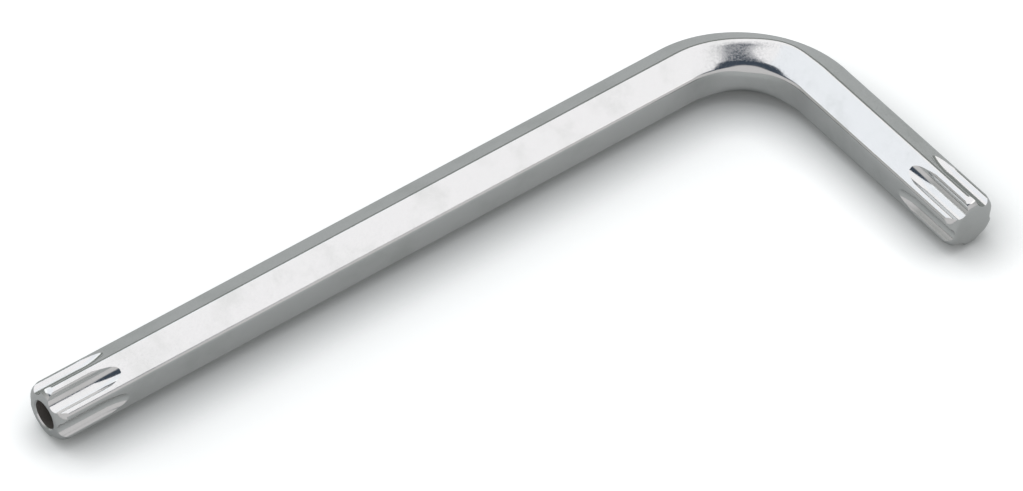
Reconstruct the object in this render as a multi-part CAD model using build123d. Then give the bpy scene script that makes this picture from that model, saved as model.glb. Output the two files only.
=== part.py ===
from build123d import *
import os
from math import acos, atan2, cos, degrees, hypot, radians, sin, sqrt, tan

os.makedirs("parts", exist_ok=True)

# A star-drive key: one length of hex bar, bent once to a right angle, with a six-lobe
# drive end formed on each arm.  Millimetres, +Z up.  The key lies as it is put down: the
# plane of its bend is level, and a ridge of the bar points straight down.  The long arm
# runs along X with its tip at -X, and the short arm points to -Y.  The origin is at the
# bottom centre of its box.

# Driving dimensions
across_flats = 5.0        # bar size, flat to flat
ridge_radius = 0.5        # rounding of the bar's six ridges
long_reach = 80.5         # back of the short arm to the long arm's tip
short_reach = 32.6        # back of the long arm to the short arm's tip
bend_radius = 9.4         # at the middle of the bar
flute_root = 3.95         # diameter that the six flutes leave between them
flute_shoulder = 0.5      # radius on which a flute rolls over onto the flat
flute_land = 0.1          # strip of flat left between a flute and a ridge
flute_straight = 4.6      # full-depth length of each flute, from the tip
runout_radius = 6.5       # arc on which a flute rises to the flat
tip_radius = 0.95         # rounding of both tips
tip_lead = 15.0           # slope of the lead from that rounding to the lobes, degrees
tip_length = 1.15         # rounding and lead together, along the bar
pin_hole_diameter = 2.7   # clears the centre pin of a pinned screw
pin_hole_depth = 5.5      # to the end of the full bore
pin_hole_edge = 0.12      # broken edge at the hole's mouth
drill_point = 118.0       # included angle of the hole's bottom, degrees

# Worked out from the driving dimensions
lobes = 6
half_sector = 180 / lobes
half_flat = across_flats / 2
ridge_centre = (half_flat - ridge_radius) / cos(radians(half_sector))
lobe_reach = ridge_centre + ridge_radius
root_reach = flute_root / 2
clear = 0.6               # how far a cutting shape stands past the metal

# Centre of a flute's shoulder, measured along and across the normal of its flat
shoulder_along = half_flat - sqrt(flute_shoulder**2 - flute_land**2)
shoulder_across = ridge_centre * sin(radians(half_sector))

# A flute's floor is the arc that clears the root and runs tangent into both shoulders
floor_rise = shoulder_along - root_reach
floor_radius = (shoulder_across**2 + floor_rise**2 - flute_shoulder**2) / (2 * (flute_shoulder + floor_rise))
floor_centre = root_reach + floor_radius

# Where the rounding of the tip meets the flat end face
lead_run = tip_length - tip_radius * (1 - sin(radians(tip_lead)))
tip_face = lobe_reach - tip_radius * cos(radians(tip_lead)) - lead_run * tan(radians(tip_lead))

# The middle of the bar at the virtual corner, at each tip and at the centre of the bend
corner = Vector(long_reach / 2 - half_flat, short_reach / 2 - half_flat, lobe_reach)
long_tip = corner - Vector(long_reach - half_flat, 0, 0)
short_tip = corner - Vector(0, short_reach - half_flat, 0)
bend_centre = corner - Vector(bend_radius, bend_radius, 0)

# A frame at each tip: its Z runs up the arm, and its X points at the bar's upper ridge
long_end = Plane(origin=long_tip, x_dir=(0, 0, 1), z_dir=(1, 0, 0))
short_end = Plane(origin=short_tip, x_dir=(0, 0, 1), z_dir=(0, 1, 0))
long_straight = long_reach - half_flat - bend_radius
short_straight = short_reach - half_flat - bend_radius


def bar_section(plane):
    """Rounded hexagon in a plane, with a ridge on the plane's X."""
    hexagon = RegularPolygon(half_flat, lobes, major_radius=False)
    return plane * fillet(hexagon.vertices(), ridge_radius)


def blank():
    """The bent bar before its ends are worked."""
    long_arm = extrude(bar_section(long_end), long_straight)
    bend = revolve(bar_section(long_end.offset(long_straight)), Axis(bend_centre, (0, 0, -1)), 90)
    short_arm = extrude(bar_section(short_end), short_straight)
    return long_arm + bend + short_arm


def flute_section():
    """What a flute takes out of the flat that faces +X: a hollow floor between two rounded shoulders."""
    centres = hypot(floor_centre - shoulder_along, shoulder_across)
    touch_x = shoulder_along + flute_shoulder * (floor_centre - shoulder_along) / centres
    touch_y = shoulder_across - flute_shoulder * shoulder_across / centres
    crest_x = shoulder_along + flute_shoulder
    middle = atan2(touch_y - shoulder_across, touch_x - shoulder_along) / 2
    middle_x = shoulder_along + flute_shoulder * cos(middle)
    middle_y = shoulder_across + flute_shoulder * sin(middle)
    upper = ThreePointArc((crest_x, shoulder_across), (middle_x, middle_y), (touch_x, touch_y))
    floor = ThreePointArc((touch_x, touch_y), (root_reach, 0), (touch_x, -touch_y))
    lower = ThreePointArc((touch_x, -touch_y), (middle_x, -middle_y), (crest_x, -shoulder_across))
    outside = Polyline(
        (crest_x, -shoulder_across),
        (half_flat + clear, -shoulder_across),
        (half_flat + clear, shoulder_across),
        (crest_x, shoulder_across),
    )
    return make_face([*upper.edges(), *floor.edges(), *lower.edges(), *outside.edges()])


def flute_cutter():
    """One flute up from below the tip: straight at full depth, then out of the flat on an arc."""
    section = flute_section()
    straight = extrude(Pos(0, 0, -clear) * section, flute_straight + clear)
    pivot = Axis((root_reach + runout_radius, 0, flute_straight), (0, 1, 0))
    lift = degrees(acos(1 - (half_flat + clear - root_reach) / runout_radius))
    rise = revolve(Pos(0, 0, flute_straight) * section, pivot, lift)
    return straight + rise


def tip_waste():
    """The ring of metal that goes when the end of the bar is rounded."""
    outer = lobe_reach + clear
    quarter = radians(45)
    slope = radians(tip_lead)
    lead_x = tip_face + tip_radius * cos(slope)
    lead_z = tip_radius * (1 - sin(slope))
    rounding = ThreePointArc(
        (tip_face, 0, 0),
        (tip_face + tip_radius * sin(quarter), 0, tip_radius * (1 - cos(quarter))),
        (lead_x, 0, lead_z),
    )
    outside = Polyline(
        (lead_x, 0, lead_z),
        (outer, 0, lead_z + (outer - lead_x) / tan(slope)),
        (outer, 0, -clear),
        (tip_face, 0, -clear),
        (tip_face, 0, 0),
    )
    return revolve(make_face([*rounding.edges(), *outside.edges()]), Axis.Z, 360)


def star_end_waste():
    """All that is cut from one end of the bar to leave the six-lobe drive."""
    cutter = flute_cutter()
    flutes = [Rot(0, 0, half_sector * (2 * number + 1)) * cutter for number in range(lobes)]
    return flutes + [tip_waste()]


def pin_hole():
    """Blind drilled hole up from the tip, with a broken edge at its mouth."""
    radius = pin_hole_diameter / 2
    mouth = radius + pin_hole_edge + clear
    point = pin_hole_depth + radius / tan(radians(drill_point / 2))
    outline = Polyline(
        (0, 0, -clear),
        (mouth, 0, -clear),
        (radius, 0, pin_hole_edge),
        (radius, 0, pin_hole_depth),
        (0, 0, point),
        close=True,
    )
    return revolve(make_face(outline), Axis.Z, 360)


def star_key():
    """The whole key: the bent bar, less the waste at both ends and the hole in the long arm."""
    key = blank()
    for end in (long_end, short_end):
        for waste in star_end_waste():
            key -= end.location * waste
    return key - long_end.location * pin_hole()


key = star_key()
export_step(key, "parts/star_key.step")
print("lobe diameter", round(2 * lobe_reach, 3), "flute floor radius", round(floor_radius, 3))
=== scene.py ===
"""Looks for a star-drive key: a bent hex bar with a fluted star drive cut into both of its ends.

The key is one piece of steel, so its visible mesh is worked from one bar, in the order in which
the real key is made: the bar is drawn and bent, its tips are rounded, the flutes are cut, the pin
hole is drilled, and the whole key is plated.
"""
import logging
from collections.abc import Callable, Iterator
from contextlib import contextmanager
from dataclasses import dataclass, field
from enum import Enum
from math import atan2, cos, exp, hypot, pi, radians, sin, sqrt, tan

import bmesh
import bpy
from mathutils import Matrix, Vector


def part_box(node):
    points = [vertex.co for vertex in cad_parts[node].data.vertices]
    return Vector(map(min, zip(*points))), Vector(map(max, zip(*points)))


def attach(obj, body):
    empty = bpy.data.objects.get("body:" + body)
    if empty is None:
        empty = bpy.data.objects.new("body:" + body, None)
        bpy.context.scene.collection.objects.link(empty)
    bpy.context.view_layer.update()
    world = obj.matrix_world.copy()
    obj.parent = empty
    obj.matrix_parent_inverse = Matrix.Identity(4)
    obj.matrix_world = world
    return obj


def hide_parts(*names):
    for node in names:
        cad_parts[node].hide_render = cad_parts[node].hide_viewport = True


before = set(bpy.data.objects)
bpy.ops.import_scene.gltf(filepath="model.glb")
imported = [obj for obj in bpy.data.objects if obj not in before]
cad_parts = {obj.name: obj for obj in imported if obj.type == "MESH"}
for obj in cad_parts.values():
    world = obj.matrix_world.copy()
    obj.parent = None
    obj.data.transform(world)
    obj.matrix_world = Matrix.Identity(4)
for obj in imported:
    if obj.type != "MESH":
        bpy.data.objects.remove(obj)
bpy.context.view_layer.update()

MM = 0.001
KEY_NODE = "star_key"
MERGE_WITHIN = 0.0005 * MM
ON_PLANE = 0.001 * MM
log = logging.getLogger("star_key")


# ---------------------------------------------------------------------------------------------
# Hand tools: short names for the operators that every piece is shaped with
# ---------------------------------------------------------------------------------------------

def deselect_all() -> None:
    """Leave object mode with nothing selected, so that an operator acts on one piece only."""
    if bpy.context.object and bpy.context.object.mode != "OBJECT":
        bpy.ops.object.mode_set(mode="OBJECT")
    bpy.ops.object.select_all(action="DESELECT")


def make_active(piece: bpy.types.Object) -> None:
    """Select one piece and nothing else.

    Args:
        piece: The object that the next operators act on.
    """
    deselect_all()
    piece.select_set(True)
    bpy.context.view_layer.objects.active = piece


@contextmanager
def edit_mode(piece: bpy.types.Object) -> Iterator[None]:
    """Open a piece in edit mode for the length of a with block.

    Args:
        piece: The object to edit.
    """
    make_active(piece)
    bpy.ops.object.mode_set(mode="EDIT")
    bpy.ops.mesh.select_mode(type="VERT")
    try:
        yield
    finally:
        bpy.ops.object.mode_set(mode="OBJECT")


def pick_vertices(piece: bpy.types.Object, wanted: Callable[[Vector], bool]) -> None:
    """Select the vertices of a piece in edit mode by their place.

    Args:
        piece: The object being edited.
        wanted: Says of a vertex's place whether it is selected.
    """
    bpy.ops.mesh.select_all(action="DESELECT")
    mesh = bmesh.from_edit_mesh(piece.data)
    for vertex in mesh.verts:
        vertex.select = wanted(vertex.co)
    mesh.select_flush(True)
    bmesh.update_edit_mesh(piece.data)


def extrude(step: Vector) -> None:
    """Extrude the selection.

    Args:
        step: How far the new edges or faces move.
    """
    bpy.ops.mesh.extrude_region_move(TRANSFORM_OT_translate={"value": tuple(step)})


def spin(turn: float, centre: Vector, axis: Vector, steps: int) -> None:
    """Spin the selection about an axis, anticlockwise as seen from its end.

    With no window the operator turns the other way, so it is given the axis reversed.

    Args:
        turn: The angle.
        centre: A point on the axis.
        axis: The axis.
        steps: How many steps the turn has.
    """
    bpy.ops.mesh.spin(steps=steps, angle=turn, center=centre, axis=-axis)


def close_skin() -> None:
    """Merge doubled vertices of a closed mesh in edit mode and turn its faces outwards."""
    bpy.ops.mesh.select_all(action="SELECT")
    bpy.ops.mesh.remove_doubles(threshold=MERGE_WITHIN)
    bpy.ops.mesh.normals_make_consistent(inside=False)


def settle(piece: bpy.types.Object, place: Matrix) -> None:
    """Move a piece and put the move into its mesh, which leaves the object at the origin.

    Args:
        piece: The object to move.
        place: Where its own axes go.
    """
    make_active(piece)
    piece.matrix_world = place @ piece.matrix_world
    bpy.ops.object.transform_apply(location=True, rotation=True, scale=True)


def copy_of(piece: bpy.types.Object) -> bpy.types.Object:
    """Copy a piece with a mesh of its own.

    Args:
        piece: The object to copy.

    Returns:
        The copy.
    """
    make_active(piece)
    bpy.ops.object.duplicate(linked=False)
    return bpy.context.object


def apply_modifier(piece: bpy.types.Object, kind: str, **settings: object) -> None:
    """Add a modifier, set it and apply it.

    Args:
        piece: The object to change.
        kind: The modifier's type.
        settings: Its settings by name.
    """
    make_active(piece)
    modifier = piece.modifiers.new(kind.lower(), kind)
    for name, value in settings.items():
        setattr(modifier, name, value)
    bpy.ops.object.modifier_apply(modifier=modifier.name)


def cut_away(piece: bpy.types.Object, tool: bpy.types.Object) -> None:
    """Cut a closed tool shape out of a piece, and remove the tool.

    Args:
        piece: The object that loses metal.
        tool: The closed shape of the metal to lose.
    """
    apply_modifier(piece, "BOOLEAN", object=tool, operation="DIFFERENCE", solver="MANIFOLD")
    bpy.data.objects.remove(tool, do_unlink=True)


@dataclass
class Outline:
    """An outline drawn from one vertex with extrusions and spins, in edit mode.

    Attributes:
        piece: The object that holds the outline.
        turn_axis: The axis that positive turns of an arc follow.
    """

    piece: bpy.types.Object
    turn_axis: Vector

    @classmethod
    def begin(cls, start: Vector, turn_axis: Vector) -> "Outline":
        """Put down the first vertex, and stay in edit mode.

        Args:
            start: Where the outline begins.
            turn_axis: The axis that positive turns of an arc follow.

        Returns:
            The outline.
        """
        # A small ring, merged to its middle, leaves one vertex
        deselect_all()
        bpy.ops.mesh.primitive_circle_add(vertices=3, radius=MM, location=start)
        piece = bpy.context.object
        bpy.ops.object.transform_apply(location=True, rotation=True, scale=True)
        bpy.ops.object.mode_set(mode="EDIT")
        bpy.ops.mesh.select_mode(type="VERT")
        bpy.ops.mesh.select_all(action="SELECT")
        bpy.ops.mesh.merge(type="CENTER")
        bpy.ops.mesh.select_all(action="SELECT")
        return cls(piece, turn_axis)

    def line(self, step: Vector) -> None:
        """Draw a straight stretch.

        Args:
            step: From its start to its end.
        """
        extrude(step)

    def arc(self, centre: Vector, turn: float, steps: int) -> None:
        """Draw an arc.

        Args:
            centre: Its middle.
            turn: Its angle about the turn axis.
            steps: How many edges it has.
        """
        spin(turn, centre, self.turn_axis, steps)

    def close(self, start: Vector) -> None:
        """Join the last vertex to the first.

        Args:
            start: Where the outline began.
        """
        mesh = bmesh.from_edit_mesh(self.piece.data)
        mesh.verts.ensure_lookup_table()
        nearest = min(mesh.verts, key=lambda vertex: (vertex.co - start).length)
        nearest.select = True
        bpy.ops.mesh.edge_face_add()
        bpy.ops.mesh.select_all(action="SELECT")

    def fill(self) -> None:
        """Fill the closed outline with one face, and leave it selected."""
        bpy.ops.mesh.select_all(action="SELECT")
        bpy.ops.mesh.edge_face_add()
        bpy.ops.mesh.select_all(action="SELECT")

    def turn_full(self, steps: int) -> bpy.types.Object:
        """Turn the outline once about the X axis, as on a lathe, and leave edit mode.

        Args:
            steps: How many steps the turn has.

        Returns:
            The closed turned shape.
        """
        bpy.ops.mesh.select_all(action="SELECT")
        spin(2 * pi, Vector((0, 0, 0)), Vector((1, 0, 0)), steps)
        close_skin()
        bpy.ops.object.mode_set(mode="OBJECT")
        return self.piece


# ---------------------------------------------------------------------------------------------
# The key
# ---------------------------------------------------------------------------------------------

class Arm(Enum):
    """The two arms of the key."""

    LONG = "long"
    SHORT = "short"


@dataclass
class Bar:
    """The drawn hex bar, bent once. Ridges point up and down, and flats face the sides.

    Attributes:
        low: Lowest corner of the key's box.
        high: Highest corner of the key's box.
        across_flats: From flat to flat.
        ridge_radius: Rounding of the six ridges.
        bend_radius: From the bend's centre to the bar's middle line.
        outside_flattening: How far the press flattens the outside of the bend.
        crest_shift: How far the press leans the upper and lower ridges outwards.
        crest_skew: How much later round the bend that lean is greatest, where 1 is halfway.
        crest_width: How far from a ridge's crest the lean reaches, as an angle round the bar.
        ironed_reach: What the press leaves of the inner ridges, from the middle line.
        ironed_middle: Where round the bend the inner ridges are ironed most.
        ironed_half: How far round the bend the ironing reaches to each side.
        ironed_past: Where the ironed inner side begins, as an angle round the bar.
    """

    low: Vector
    high: Vector
    across_flats: float = 5.0 * MM
    ridge_radius: float = 0.5 * MM
    bend_radius: float = 9.4 * MM
    ridge_steps: int = 10
    flat_steps: int = 8
    bend_steps: int = 72
    sides: int = 6
    outside_flattening: float = 0.16 * MM
    crest_shift: float = 0.40 * MM
    crest_skew: float = 1.87
    crest_width: float = radians(30)
    ironed_reach: float = 2.64 * MM
    ironed_middle: float = radians(44)
    ironed_half: float = radians(30)
    ironed_past: float = radians(120)

    @property
    def half_flat(self) -> float:
        """Distance from the bar's middle line to a flat."""
        return self.across_flats / 2

    @property
    def lobe_reach(self) -> float:
        """Distance from the bar's middle line to the crest of a ridge."""
        return (self.half_flat - self.ridge_radius) / cos(pi / self.sides) + self.ridge_radius

    @property
    def corner(self) -> Vector:
        """Where the middle lines of both arms would meet."""
        back = Vector((self.half_flat, self.half_flat, 0))
        return Vector((self.high.x, self.high.y, (self.low.z + self.high.z) / 2)) - back

    @property
    def bend_centre(self) -> Vector:
        """The middle of the bend's arc."""
        return self.corner - Vector((self.bend_radius, self.bend_radius, 0))

    def tip(self, arm: Arm) -> Vector:
        """Give the middle of an arm's end face.

        Args:
            arm: Which arm.

        Returns:
            The point on the arm's middle line at its tip.
        """
        if arm is Arm.LONG:
            return Vector((self.low.x, self.corner.y, self.corner.z))
        return Vector((self.corner.x, self.low.y, self.corner.z))

    def end_place(self, arm: Arm) -> Matrix:
        """Give the place of an end: X runs along the arm into the metal, from its tip.

        Args:
            arm: Which arm.

        Returns:
            The matrix from the end's own axes to the key's.
        """
        turn = 0 if arm is Arm.LONG else pi / 2
        return Matrix.Translation(self.tip(arm)) @ Matrix.Rotation(turn, 4, "Z")

    def build(self) -> bpy.types.Object:
        """Draw the bar from its section and bend it.

        Returns:
            The closed blank.
        """
        deselect_all()
        start = self.tip(Arm.LONG)
        finish = self.tip(Arm.SHORT)
        bpy.ops.mesh.primitive_circle_add(
            vertices=self.sides, radius=self.half_flat / cos(pi / self.sides), fill_type="NOTHING",
            location=start, rotation=(pi / 2, 0, pi / 2))
        bar = bpy.context.object
        bpy.ops.object.transform_apply(location=True, rotation=True, scale=True)
        with edit_mode(bar):
            bpy.ops.mesh.select_all(action="SELECT")
            bpy.ops.mesh.bevel(offset_type="OFFSET", offset=self.ridge_radius * tan(pi / self.sides),
                               segments=self.ridge_steps, profile=0.5, affect="VERTICES")
            self.divide_flats(bar)
            extrude(Vector((self.bend_centre.x - start.x, 0, 0)))
            spin(-pi / 2, self.bend_centre, Vector((0, 0, 1)), self.bend_steps)
            extrude(Vector((0, finish.y - self.bend_centre.y, 0)))
            for axis, tip in ((0, start.x), (1, finish.y)):
                pick_vertices(bar, lambda place: abs(place[axis] - tip) < ON_PLANE)
                bpy.ops.mesh.edge_face_add()
            close_skin()
            self.press_bend(bar)
        return bar

    def divide_flats(self, bar: bpy.types.Object) -> None:
        """Divide the flats of the section, so that the bend can shape them, and select it all.

        Args:
            bar: The object that holds the section, in edit mode.
        """
        bpy.ops.mesh.select_mode(type="EDGE")
        bpy.ops.mesh.select_all(action="DESELECT")
        section = bmesh.from_edit_mesh(bar.data)
        for edge in section.edges:
            edge.select = edge.calc_length() > self.ridge_radius
        bmesh.update_edit_mesh(bar.data)
        bpy.ops.mesh.subdivide(number_cuts=self.flat_steps - 1)
        bpy.ops.mesh.select_mode(type="VERT")
        bpy.ops.mesh.select_all(action="SELECT")

    def press_bend(self, bar: bpy.types.Object) -> None:
        """Give the bend the shape that the bending block leaves.

        The outside is stretched and lies a little flatter, the upper and lower ridges lean
        outwards, and the two inner ridges are ironed to a wide soft round.

        Args:
            bar: The blank, in edit mode.
        """
        mesh = bmesh.from_edit_mesh(bar.data)
        for vertex in mesh.verts:
            arm = vertex.co - self.bend_centre
            swing = atan2(arm.x, arm.y)
            if not 0 < swing < pi / 2:
                continue
            across = hypot(arm.x, arm.y) - self.bend_radius
            reach = hypot(across, arm.z)
            lean = atan2(arm.z, across)
            swell = sin(2 * swing) ** 2
            late_swell = sin(pi * (swing / (pi / 2)) ** self.crest_skew) ** 4
            crest = exp(-((abs(lean) - pi / 2) / self.crest_width) ** 2)
            away = abs(swing - self.ironed_middle) / self.ironed_half
            if abs(lean) > self.ironed_past and away < 1:
                ironed = min(reach, self.ironed_reach)
                reach += (ironed - reach) * (1 - away ** 2) ** 2
            across = (reach * cos(lean) + late_swell * self.crest_shift * crest
                      - swell * self.outside_flattening * max(0.0, cos(lean)) ** 2)
            outward = Vector((sin(swing), cos(swing), 0))
            vertex.co = (self.bend_centre + outward * (self.bend_radius + across)
                         + Vector((0, 0, reach * sin(lean))))
        bmesh.update_edit_mesh(bar.data)


@dataclass
class StarEnd:
    """The tools that turn a bar's end into a star drive, about an end's own axes.

    X runs along the arm into the metal, from its tip. A tool stands above the middle line.

    Attributes:
        bar: The bar that is worked.
        root_diameter: Across the floors of the flutes.
        shoulder_radius: Rounding between a flute and a lobe.
        land: Flat that is left between a flute's shoulder and the rounding of a ridge.
        straight: Length of a flute at its full depth.
        runout_radius: The arc on which a flute rises to the flat.
        runout_turn: How far the cutter follows that arc, which is clear of the metal.
        tip_radius: Rounding of the tip.
        tip_lead: Slope that leads from the rounding to the lobes.
        tip_length: Length of the rounding and its lead together.
        clear: How far a tool stands out of the metal.
        skim: How far before the end face the rounding begins, so that the two don't meet level.
    """

    bar: Bar
    root_diameter: float = 3.95 * MM
    shoulder_radius: float = 0.5 * MM
    land: float = 0.1 * MM
    straight: float = 4.6 * MM
    runout_radius: float = 6.5 * MM
    runout_turn: float = radians(45)
    tip_radius: float = 0.95 * MM
    tip_lead: float = radians(15)
    tip_length: float = 1.15 * MM
    clear: float = 0.6 * MM
    skim: float = 0.002 * MM
    floor_steps: int = 20
    shoulder_steps: int = 7
    runout_steps: int = 24
    tip_steps: int = 12
    turn_steps: int = 120

    @property
    def root(self) -> float:
        """Distance from the middle line to a flute's floor."""
        return self.root_diameter / 2

    def flute_tool(self) -> bpy.types.Object:
        """Shape the metal that one flute loses.

        Returns:
            The closed tool, its section drawn along the arm and spun out through the surface.
        """
        shoulder_across = (self.bar.half_flat - self.bar.ridge_radius) * tan(pi / self.bar.sides)
        shoulder_drop = sqrt(self.shoulder_radius ** 2 - self.land ** 2)
        shoulder_height = self.bar.half_flat - shoulder_drop
        rise = shoulder_height - self.root
        floor_radius = ((shoulder_across ** 2 + rise ** 2 - self.shoulder_radius ** 2)
                        / (2 * (self.shoulder_radius + rise)))
        floor_height = self.root + floor_radius
        lean = atan2(shoulder_across, floor_height - shoulder_height)
        brow = atan2(self.land, shoulder_drop)
        lid = Vector((0, 0, self.clear))
        behind = -self.clear
        start = Vector((behind, self.land - shoulder_across, self.bar.half_flat))
        outline = Outline.begin(start, Vector((1, 0, 0)))
        outline.arc(Vector((behind, -shoulder_across, shoulder_height)), brow - lean, self.shoulder_steps)
        outline.arc(Vector((behind, 0, floor_height)), 2 * lean, self.floor_steps)
        outline.arc(Vector((behind, shoulder_across, shoulder_height)), brow - lean, self.shoulder_steps)
        outline.line(lid)
        outline.line(Vector((0, 2 * start.y, 0)))
        outline.close(start)
        outline.fill()
        extrude(Vector((self.straight + self.clear, 0, 0)))
        runout_centre = Vector((self.straight, 0, self.root + self.runout_radius))
        spin(-self.runout_turn, runout_centre, Vector((0, 1, 0)), self.runout_steps)
        close_skin()
        bpy.ops.object.mode_set(mode="OBJECT")
        return outline.piece

    def tip_tool(self) -> bpy.types.Object:
        """Shape the metal that the rounding of a tip loses.

        Returns:
            A closed ring around the arm's end.
        """
        lobe = self.bar.lobe_reach
        lead_run = self.tip_length - self.tip_radius * (1 - sin(self.tip_lead))
        face = lobe - self.tip_radius * cos(self.tip_lead) - lead_run * tan(self.tip_lead)
        start = Vector((-self.clear, 0, face))
        outline = Outline.begin(start, Vector((0, 1, 0)))
        outline.line(Vector((self.clear - self.skim, 0, 0)))
        outline.arc(Vector((self.tip_radius - self.skim, 0, face)), pi / 2 - self.tip_lead, self.tip_steps)
        outline.line(Vector((1, 0, tan(self.tip_lead))) * (lead_run + self.clear))
        outline.line(Vector((0, 0, self.clear)))
        outline.line(Vector((-self.tip_length - 2 * self.clear, 0, 0)))
        outline.close(start)
        return outline.turn_full(self.turn_steps)

    def work(self, key: bpy.types.Object, arm: Arm) -> None:
        """Round a tip and cut its flutes.

        Args:
            key: The blank that is worked.
            arm: Which of its ends.
        """
        place = self.bar.end_place(arm)
        ring = self.tip_tool()
        settle(ring, place)
        cut_away(key, ring)
        master = self.flute_tool()
        for index in range(self.bar.sides):
            turn = (index + 0.5) * 2 * pi / self.bar.sides
            tool = copy_of(master)
            settle(tool, place @ Matrix.Rotation(turn, 4, "X"))
            cut_away(key, tool)
        bpy.data.objects.remove(master, do_unlink=True)
        log.info("%s end: tip rounded, %d flutes cut", arm.value, self.bar.sides)


@dataclass
class PinHole:
    """The blind hole in the long arm's tip, which clears a screw's centre pin.

    Attributes:
        radius: Of the hole.
        depth: From the end face to the start of the drill point.
        broken_edge: Size of the bevel at the mouth.
        point_angle: Whole angle of the drill point.
        clear: How far the tool stands out of the metal.
        wall_slack: How far off the true wall a face may lie and still be painted.
        turn_steps: Steps round the hole.
    """

    radius: float = 1.35 * MM
    depth: float = 5.5 * MM
    broken_edge: float = 0.12 * MM
    point_angle: float = radians(118)
    clear: float = 0.1 * MM
    wall_slack: float = 0.01 * MM
    turn_steps: int = 72

    def tool(self) -> bpy.types.Object:
        """Shape the metal that the drill and the countersink take away.

        Returns:
            A closed tool with its axis on X, from the tip inwards.
        """
        point = self.radius / tan(self.point_angle / 2)
        chamfer = self.broken_edge + self.clear
        outline = Outline.begin(Vector((-self.clear, 0, 0)), Vector((0, 1, 0)))
        outline.line(Vector((0, 0, self.radius + chamfer)))
        outline.line(Vector((chamfer, 0, -chamfer)))
        outline.line(Vector((self.depth - self.broken_edge, 0, 0)))
        outline.line(Vector((point, 0, -self.radius)))
        return outline.turn_full(self.turn_steps)

    def paint(self, key: bpy.types.Object, place: Matrix, slot: int) -> None:
        """Give the hole's wall a finish of its own.

        Args:
            key: The drilled key.
            place: The place of the end that is drilled.
            slot: The key's material slot for the wall.
        """
        back = place.inverted()
        with edit_mode(key):
            bpy.ops.mesh.select_mode(type="FACE")
            bpy.ops.mesh.select_all(action="DESELECT")
            mesh = bmesh.from_edit_mesh(key.data)
            for face in mesh.faces:
                middle = back @ face.calc_center_median()
                face.select = (hypot(middle.y, middle.z) < self.radius + self.wall_slack
                               and self.broken_edge < middle.x < self.depth + self.radius)
            bmesh.update_edit_mesh(key.data)
            key.active_material_index = slot
            bpy.ops.object.material_slot_assign()

    def drill(self, key: bpy.types.Object, place: Matrix) -> None:
        """Drill the hole.

        Args:
            key: The key to drill.
            place: The place of the end that is drilled.
        """
        tool = self.tool()
        settle(tool, place)
        cut_away(key, tool)


@dataclass
class StarKey:
    """The whole key."""

    bar: Bar
    hole: PinHole = field(default_factory=PinHole)
    smooth_under: float = radians(24)

    def build(self) -> bpy.types.Object:
        """Work the blank into the key.

        Returns:
            The key, closed and smoothed.
        """
        key = self.bar.build()
        key.name = "plated_key"
        key.data.name = "plated_key"
        end = StarEnd(self.bar)
        for arm in Arm:
            end.work(key, arm)
        self.hole.drill(key, self.bar.end_place(Arm.LONG))
        with edit_mode(key):
            close_skin()
        make_active(key)
        bpy.ops.object.shade_smooth_by_angle(angle=self.smooth_under)
        apply_modifier(key, "WEIGHTED_NORMAL", mode="FACE_AREA_WITH_ANGLE", keep_sharp=True)
        log.info("key: %d vertices, %d faces", len(key.data.vertices), len(key.data.polygons))
        return key

    def dress(self, key: bpy.types.Object) -> None:
        """Plate the key, and leave the hole's wall bare.

        Args:
            key: The worked key.
        """
        key.data.materials.clear()
        key.data.materials.append(PlatedSteel().build())
        key.data.materials.append(DrilledSteel().build())
        self.hole.paint(key, self.bar.end_place(Arm.LONG), key.data.materials.find("drilled_steel"))


# ---------------------------------------------------------------------------------------------
# Finishes
# ---------------------------------------------------------------------------------------------

Colour = tuple[float, float, float]
Socket = bpy.types.NodeSocket

# The Mix node's colour sockets share their names with its other sockets, so they go by number
MIX_COLOURS = (6, 7)
MIX_RESULT = 2


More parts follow.
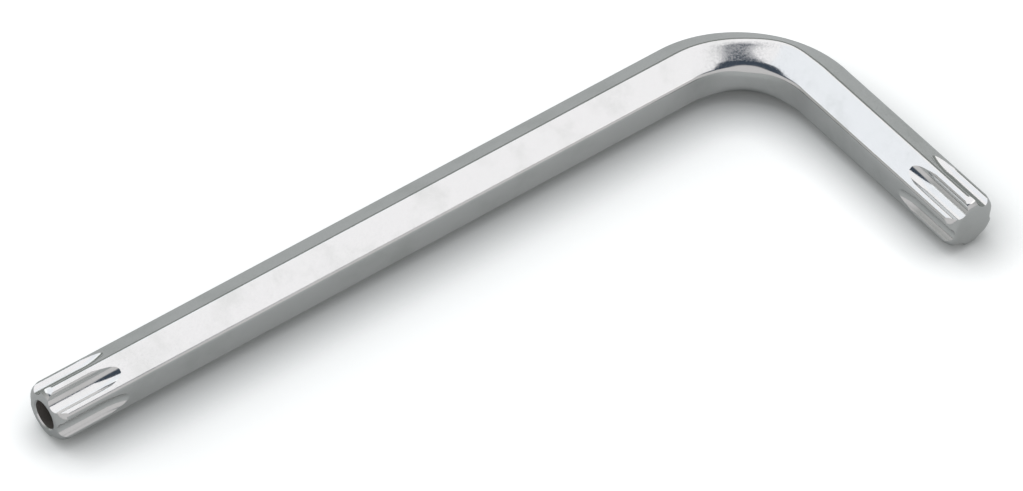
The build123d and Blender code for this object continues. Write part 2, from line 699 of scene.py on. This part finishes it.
@dataclass
class NodeBench:
    """A node tree and short ways to add nodes to it.

    Attributes:
        tree: The tree that is being wired.
    """

    tree: bpy.types.NodeTree

    def add(self, kind: str, **settings: object) -> bpy.types.Node:
        """Add a node.

        Args:
            kind: The node's type, without its ShaderNode prefix.
            settings: Its settings by name.

        Returns:
            The node.
        """
        node = self.tree.nodes.new("ShaderNode" + kind)
        for name, value in settings.items():
            setattr(node, name, value)
        return node

    def plug(self, socket: Socket, value: object) -> None:
        """Give one input its value, or join it to another node's output.

        Args:
            socket: The input.
            value: A plain value or an output.
        """
        if isinstance(value, Socket):
            self.tree.links.new(value, socket)
        else:
            socket.default_value = value

    def feed(self, node: bpy.types.Node, **values: object) -> bpy.types.Node:
        """Give a node's inputs their values, or join them to other nodes' outputs.

        Args:
            node: The node to feed.
            values: A value or an output by the input's name, with spaces as underscores.

        Returns:
            The same node.
        """
        for name, value in values.items():
            self.plug(node.inputs[name.replace("_", " ")], value)
        return node

    def math(self, operation: str, first: Socket | float, second: Socket | float) -> Socket:
        """Work out one number from two.

        Args:
            operation: The Math node's operation.
            first: The first number.
            second: The second number.

        Returns:
            The result.
        """
        node = self.add("Math", operation=operation)
        for socket, value in zip(node.inputs, (first, second)):
            self.plug(socket, value)
        return node.outputs["Value"]

    def noise(self, place: Socket, scale: float, detail: float = 2.0, roughness: float = 0.5) -> Socket:
        """Add a noise pattern.

        Args:
            place: The coordinates that it follows.
            scale: How many features it has to a metre.
            detail: How many finer layers it has.
            roughness: How strong the finer layers are.

        Returns:
            The pattern, from 0 to 1 around a half.
        """
        node = self.add("TexNoise")
        self.feed(node, Vector=place, Scale=scale, Detail=detail, Roughness=roughness)
        return node.outputs["Fac"]

    def span(self, value: Socket, source: tuple[float, float], target: tuple[float, float]) -> Socket:
        """Map one range of numbers smoothly onto another.

        Args:
            value: The number to map.
            source: The range that it comes from.
            target: The range that it goes to.

        Returns:
            The mapped number, kept within the target range.
        """
        node = self.add("MapRange", interpolation_type="SMOOTHSTEP")
        self.feed(node, Value=value, From_Min=source[0], From_Max=source[1], To_Min=target[0],
                  To_Max=target[1])
        return node.outputs["Result"]

    def blend(self, share: Socket, first: Colour | Socket, second: Colour | Socket) -> Socket:
        """Mix two colours.

        Args:
            share: How much of the second colour shows.
            first: The first colour.
            second: The second colour.

        Returns:
            The mixed colour.
        """
        node = self.feed(self.add("Mix", data_type="RGBA"), Factor=share)
        for index, value in zip(MIX_COLOURS, (first, second)):
            self.plug(node.inputs[index], value if isinstance(value, Socket) else (*value, 1))
        return node.outputs[MIX_RESULT]


@dataclass(frozen=True)
class DrilledSteel:
    """The wall of a drilled hole, which the plating hardly reaches: dull, with fine tool rings.

    Attributes:
        base: Colour of the bare wall.
        stain: How bright the stained spots are, as a share of the base.
        metal: How metallic the wall is.
        roughness: How dull it is.
        ring_scale: Sets how close the tool rings lie.
        ring_depth: Height of the rings.
        ring_wobble: How uneven the rings are.
    """

    base: Colour = (0.40, 0.37, 0.34)
    stain: float = 0.6
    metal: float = 0.6
    roughness: float = 0.42
    ring_scale: float = 1500.0
    ring_depth: float = 0.004 * MM
    ring_wobble: float = 1.5

    def build(self) -> bpy.types.Material:
        """Make the material.

        Returns:
            The material.
        """
        material = bpy.data.materials.new("drilled_steel")
        material.use_nodes = True
        bench = NodeBench(material.node_tree)
        shader = material.node_tree.nodes["Principled BSDF"]
        place = bench.add("TexCoord").outputs["Object"]
        rings = bench.add("TexWave", bands_direction="X")
        bench.feed(rings, Vector=place, Scale=self.ring_scale, Distortion=self.ring_wobble, Detail=1.0)
        height = bench.math("MULTIPLY", rings.outputs["Fac"], self.ring_depth)
        bump = bench.feed(bench.add("Bump"), Strength=1.0, Distance=1.0, Height=height)
        stained = tuple(part * self.stain for part in self.base)
        colour = bench.blend(bench.noise(place, self.ring_scale), self.base, stained)
        bench.feed(shader, Metallic=self.metal, Roughness=self.roughness, Base_Color=colour,
                   Normal=bump.outputs["Normal"])
        return material


@dataclass(frozen=True)
class PlatedSteel:
    """Bright plating on drawn and bent steel.

    The plating is clear and a little hazy. Under it the bar keeps the soft waves of drawing and
    bending, and over it lies the fine grain of the barrel in which the keys were plated.

    Attributes:
        base: Colour of the clean plating.
        tired: Colour of its faintly tired patches.
        tired_from: The part of the patch pattern over which the clean colour turns tired.
        haze: Roughness of the clearest and of the haziest spots.
        haze_from: The part of the grain pattern over which the haze grows.
        wave_scale: Waves to a metre.
        wave_depth: Height of the waves.
        grain_scale: Grains to a metre.
        grain_depth: Height of the grain.
        blotch_scale: Patches to a metre.
    """

    base: Colour = (0.70, 0.70, 0.69)
    tired: Colour = (0.63, 0.635, 0.62)
    tired_from: tuple[float, float] = (0.45, 0.75)
    haze: tuple[float, float] = (0.09, 0.20)
    haze_from: tuple[float, float] = (0.35, 0.70)
    wave_scale: float = 900.0
    wave_depth: float = 0.0012 * MM
    grain_scale: float = 5200.0
    grain_depth: float = 0.00040 * MM
    blotch_scale: float = 240.0

    def build(self) -> bpy.types.Material:
        """Make the material.

        Returns:
            The material.
        """
        material = bpy.data.materials.new("plated_steel")
        material.use_nodes = True
        bench = NodeBench(material.node_tree)
        shader = material.node_tree.nodes["Principled BSDF"]
        place = bench.add("TexCoord").outputs["Object"]
        waves = bench.noise(place, self.wave_scale, detail=1.0)
        grain = bench.noise(place, self.grain_scale, detail=3.0, roughness=0.65)
        blotch = bench.noise(place, self.blotch_scale, detail=4.0, roughness=0.6)
        height = bench.math("ADD", bench.math("MULTIPLY", waves, self.wave_depth),
                            bench.math("MULTIPLY", grain, self.grain_depth))
        bump = bench.feed(bench.add("Bump"), Strength=1.0, Distance=1.0, Height=height)
        colour = bench.blend(bench.span(blotch, self.tired_from, (0.0, 1.0)), self.base, self.tired)
        bench.feed(shader, Metallic=1.0, Normal=bump.outputs["Normal"], Base_Color=colour,
                   Roughness=bench.span(grain, self.haze_from, self.haze))
        return material


# ---------------------------------------------------------------------------------------------
# The studio
# ---------------------------------------------------------------------------------------------

@dataclass(frozen=True)
class CameraView:
    """A long lens that looks down on the key from the side of its long arm."""

    target: Vector = field(default_factory=lambda: Vector((3.89, 5.91, 2.81)) * MM)
    azimuth: float = radians(-37.96)
    elevation: float = radians(46.18)
    roll: float = radians(0.89)
    distance: float = 625 * MM
    lens: float = 251.9
    sensor: float = 36.0
    nearest: float = 10 * MM

    def build(self) -> None:
        """Set up the camera and make it the scene's."""
        back = Vector((sin(self.azimuth) * cos(self.elevation), -cos(self.azimuth) * cos(self.elevation),
                       sin(self.elevation)))
        level = Vector((cos(self.azimuth), sin(self.azimuth), 0))
        right = cos(self.roll) * level + sin(self.roll) * back.cross(level)
        data = bpy.data.cameras.new("camera")
        data.lens = self.lens
        data.sensor_width = self.sensor
        data.clip_start = self.nearest
        camera = bpy.data.objects.new("camera", data)
        place = Matrix((right, back.cross(right), back)).transposed().to_4x4()
        place.translation = self.target + back * self.distance
        camera.matrix_world = place
        bpy.context.collection.objects.link(camera)
        bpy.context.scene.camera = camera


@dataclass(frozen=True)
class SoftPanel:
    """One half of the soft ceiling, a level lamp with an even face.

    Attributes:
        name: The lamp's name.
        span: From its left to its right end, as seen from the camera, in ceiling heights.
        radiance: How bright its face is, where 1 is white.
        colour: Its tint.
        depth: From its front to its back edge, in ceiling heights.
        height: Height of the ceiling.
        facing: How far the ceiling is turned about the vertical.
    """

    name: str
    span: tuple[float, float]
    radiance: float
    colour: Colour
    depth: tuple[float, float] = (-0.138, 1.20)
    height: float = 0.6
    facing: float = radians(-48.0)

    def build(self) -> None:
        """Hang the lamp."""
        width = (self.span[1] - self.span[0]) * self.height
        depth = (self.depth[1] - self.depth[0]) * self.height
        data = bpy.data.lights.new(self.name, "AREA")
        data.shape = "RECTANGLE"
        data.size = width
        data.size_y = depth
        data.energy = self.radiance * pi * width * depth
        data.color = self.colour
        lamp = bpy.data.objects.new(self.name, data)
        middle = Vector((sum(self.span) / 2, sum(self.depth) / 2, 1)) * self.height
        lamp.matrix_world = Matrix.Rotation(self.facing, 4, "Z") @ Matrix.Translation(middle)
        bpy.context.collection.objects.link(lamp)


@dataclass(frozen=True)
class Room:
    """What stands around the panels: grey walls, and a dark ceiling past the panels' edges.

    The walls are paler on the camera's side.

    Attributes:
        back_wall: Colour of the walls behind the key.
        front_wall: Colour of the walls on the camera's side.
        front: Direction in which the walls are palest.
        turn: How squarely a wall faces that way where it starts and stops turning pale.
        ceiling: Colour of the ceiling.
        wall_top: Height at which the walls end and the ceiling begins, of a direction of length 1.
    """

    back_wall: Colour = (0.280, 0.300, 0.290)
    front_wall: Colour = (0.72, 0.71, 0.72)
    front: Vector = field(default_factory=lambda: Vector((-0.62, -0.78, 0)))
    turn: tuple[float, float] = (-0.30, 0.45)
    ceiling: Colour = (0.060, 0.080, 0.110)
    wall_top: tuple[float, float] = (0.60, 0.74)

    def build(self) -> None:
        """Make the world."""
        world = bpy.data.worlds.new("room")
        world.use_nodes = True
        bpy.context.scene.world = world
        bench = NodeBench(world.node_tree)
        direction = bench.add("TexCoord").outputs["Generated"]
        upward = bench.feed(bench.add("SeparateXYZ"), Vector=direction).outputs["Z"]
        forward = bench.add("VectorMath", operation="DOT_PRODUCT")
        bench.plug(forward.inputs[0], direction)
        bench.plug(forward.inputs[1], self.front)
        walls = bench.blend(bench.span(forward.outputs["Value"], self.turn, (0.0, 1.0)),
                            self.back_wall, self.front_wall)
        room = world.node_tree.nodes["Background"]
        height = bench.span(upward, self.wall_top, (0.0, 1.0))
        bench.feed(room, Color=bench.blend(height, walls, self.ceiling))
        white = bench.feed(bench.add("Background"), Color=(1, 1, 1, 1))
        mix = bench.add("MixShader")
        bench.feed(mix, Fac=bench.add("LightPath").outputs["Is Camera Ray"])
        bench.plug(mix.inputs[1], room.outputs["Background"])
        bench.plug(mix.inputs[2], white.outputs["Background"])
        bench.plug(world.node_tree.nodes["World Output"].inputs["Surface"], mix.outputs["Shader"])


@dataclass(frozen=True)
class PaleFloor:
    """The plain floor on which the key lies, white to the camera away from the key's shadow. Near the key
    that shadow is mostly painted shade from ambient occlusion, on top of the lamps' real shadow on its matt
    part.

    Attributes:
        size: Length of its sides.
        colour: Its own colour, which the lamps light.
        lift: What is added for the camera, to make it white.
        mirror_share: The share of the lift that a mirror shows.
        shade_reach: How far from the floor the key still shades the lift.
        shade_lean: Direction in which the floor looks for what shades it.
        contact_reach: How far the closer shade reaches, which lies all round the key.
        shade_samples: Directions tried for each of the two.
    """

    size: float = 3.0
    colour: Colour = (0.56, 0.58, 0.57)
    lift: float = 0.72
    mirror_share: float = 0.08
    shade_reach: float = 12 * MM
    shade_lean: Vector = field(default_factory=lambda: Vector((-0.40, 0.70, 0.60)).normalized())
    contact_reach: float = 5 * MM
    shade_samples: int = 16

    def build(self) -> None:
        """Lay the floor."""
        deselect_all()
        bpy.ops.mesh.primitive_plane_add(size=self.size)
        floor = bpy.context.object
        floor.name = "floor"
        floor.data.materials.append(self.finish())

    def finish(self) -> bpy.types.Material:
        """Make the floor's material.

        Returns:
            A matt pale surface, lifted to white, with the lift darkened near the key by ambient occlusion
            as a painted shadow.
        """
        material = bpy.data.materials.new("floor")
        material.use_nodes = True
        tree = material.node_tree
        bench = NodeBench(tree)
        shader = tree.nodes["Principled BSDF"]
        bench.feed(shader, Base_Color=(*self.colour, 1), Roughness=1.0, Specular_IOR_Level=0.0)
        path = bench.add("LightPath")
        mirrored = bench.math("MAXIMUM", path.outputs["Is Glossy Ray"], path.outputs["Is Transmission Ray"])
        seen = bench.math("MAXIMUM", path.outputs["Is Camera Ray"],
                          bench.math("MULTIPLY", mirrored, self.mirror_share))
        # Painted shadow: two ambient occlusion lookups darken the lift near the key, one leaning to one
        # side and one close all round
        shade = bench.add("AmbientOcclusion", samples=self.shade_samples)
        bench.feed(shade, Distance=self.shade_reach, Normal=self.lean_node(bench))
        contact = bench.add("AmbientOcclusion", samples=self.shade_samples)
        bench.feed(contact, Distance=self.contact_reach)
        depth = bench.math("MULTIPLY", shade.outputs["AO"], contact.outputs["AO"])
        strength = bench.math("MULTIPLY", bench.math("MULTIPLY", seen, self.lift), depth)
        lift = bench.feed(bench.add("Emission"), Strength=strength)
        both = bench.add("AddShader")
        bench.plug(both.inputs[0], shader.outputs["BSDF"])
        bench.plug(both.inputs[1], lift.outputs["Emission"])
        bench.plug(tree.nodes["Material Output"].inputs["Surface"], both.outputs["Shader"])
        return material

    def lean_node(self, bench: NodeBench) -> Socket:
        """Give the direction in which the floor looks for what shades it.

        Args:
            bench: The floor's nodes.

        Returns:
            The direction.
        """
        node = bench.add("CombineXYZ")
        bench.feed(node, X=self.shade_lean.x, Y=self.shade_lean.y, Z=self.shade_lean.z)
        return node.outputs["Vector"]


@dataclass(frozen=True)
class Studio:
    """The floor, the light and the camera."""

    panels: tuple[SoftPanel, ...] = (
        SoftPanel("warm_panel", (-0.20, 1.6), 1.17, (1.0, 0.975, 0.975)),
        SoftPanel("cool_panel", (-1.8, -0.20), 1.16, (0.955, 0.97, 1.0)))

    def build(self) -> None:
        """Set up everything around the key."""
        for panel in self.panels:
            panel.build()
        Room().build()
        PaleFloor().build()
        CameraView().build()
        bpy.context.scene.view_settings.view_transform = "Standard"
        log.info("studio: %d panels", len(self.panels))


def main() -> None:
    """Build the key and its surroundings."""
    logging.basicConfig(level=logging.INFO, format="%(name)s: %(message)s")
    low, high = (Vector(corner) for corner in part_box(KEY_NODE))
    star_key = StarKey(Bar(low, high))
    key = star_key.build()
    star_key.dress(key)
    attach(key, "root")
    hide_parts(KEY_NODE)
    Studio().build()


if __name__ == "__main__":
    main()
